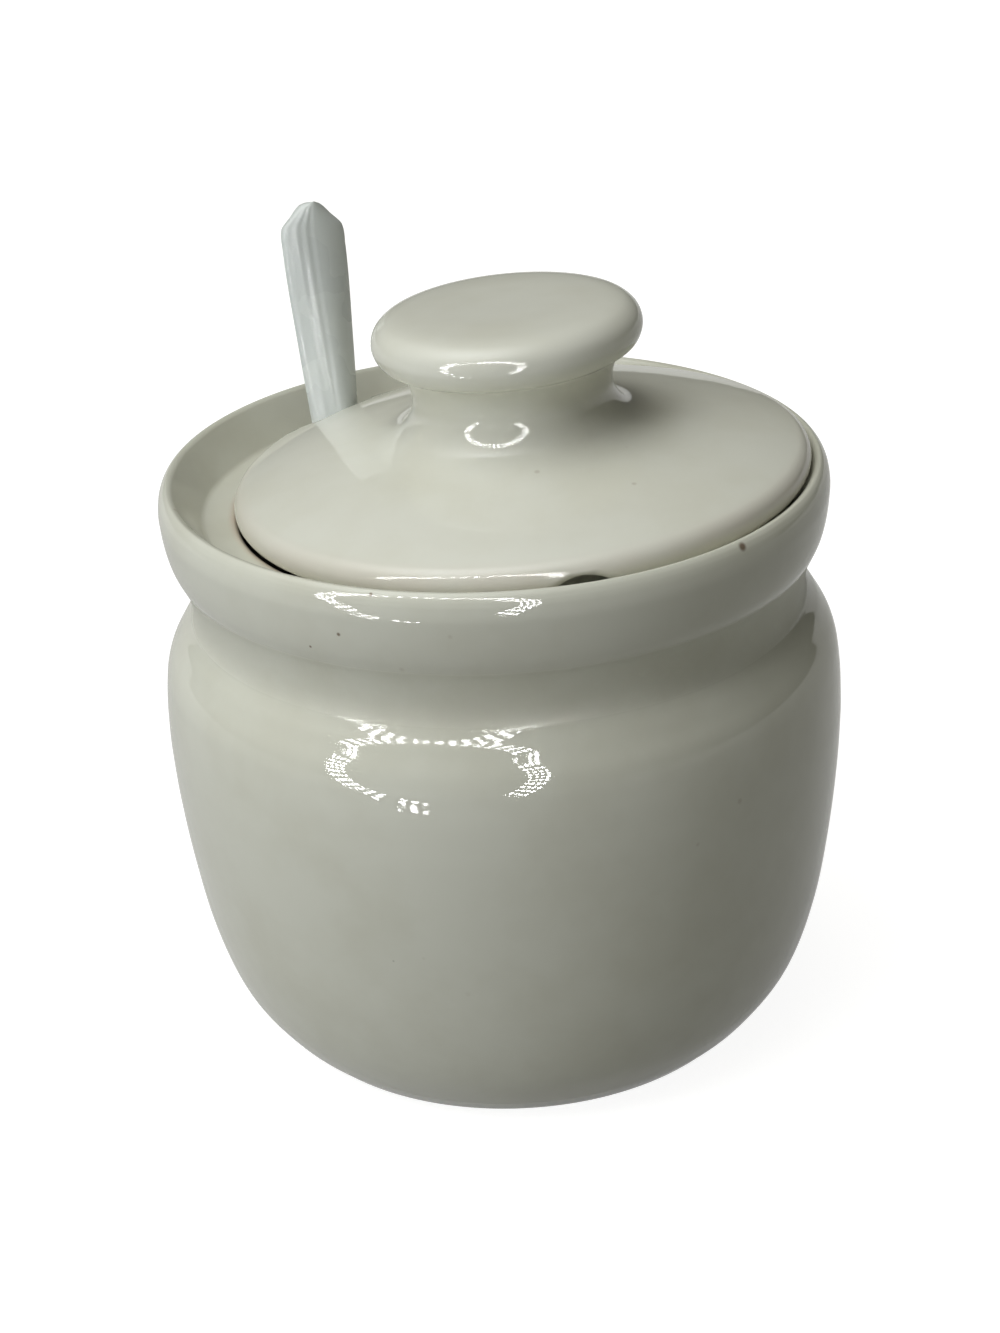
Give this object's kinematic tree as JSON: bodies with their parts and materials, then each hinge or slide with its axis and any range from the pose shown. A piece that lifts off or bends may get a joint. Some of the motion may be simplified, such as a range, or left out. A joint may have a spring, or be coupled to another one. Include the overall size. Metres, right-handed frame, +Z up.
{
  "type": "jam pot",
  "caption": "Round stoneware jam pot with a loose knobbed lid that rests on a ledge inside its flared rim, and a spoon standing in it.",
  "frame": {"origin": "on the pot's axis, in the plane of the foot ring that it stands on", "axes": "+Z up along the pot's axis; the picture looks along +Y, with +X to the right; the spoon's handle is at the back left"},
  "size_m": [0.1052, 0.1052, 0.1245],
  "materials": {
    "pot_glaze": "gloss",
    "lid_glaze": "gloss",
    "spoon_plastic": "gloss"
  },
  "bodies": {
    "pot": {"pot": "pot_glaze"},
    "spoon": {"spoon": "spoon_plastic"},
    "lid": {"lid": "lid_glaze"}
  },
  "joints": [
    {"name": "spoon_lift", "type": "slide", "parent": "pot", "child": "spoon", "axis": [0, 0, 1], "range_m": [0, 0.1]},
    {"name": "lid_lift", "type": "slide", "parent": "spoon", "child": "lid", "axis": [0, 0, 1], "range_m": [0, 0.06]}
  ]
}
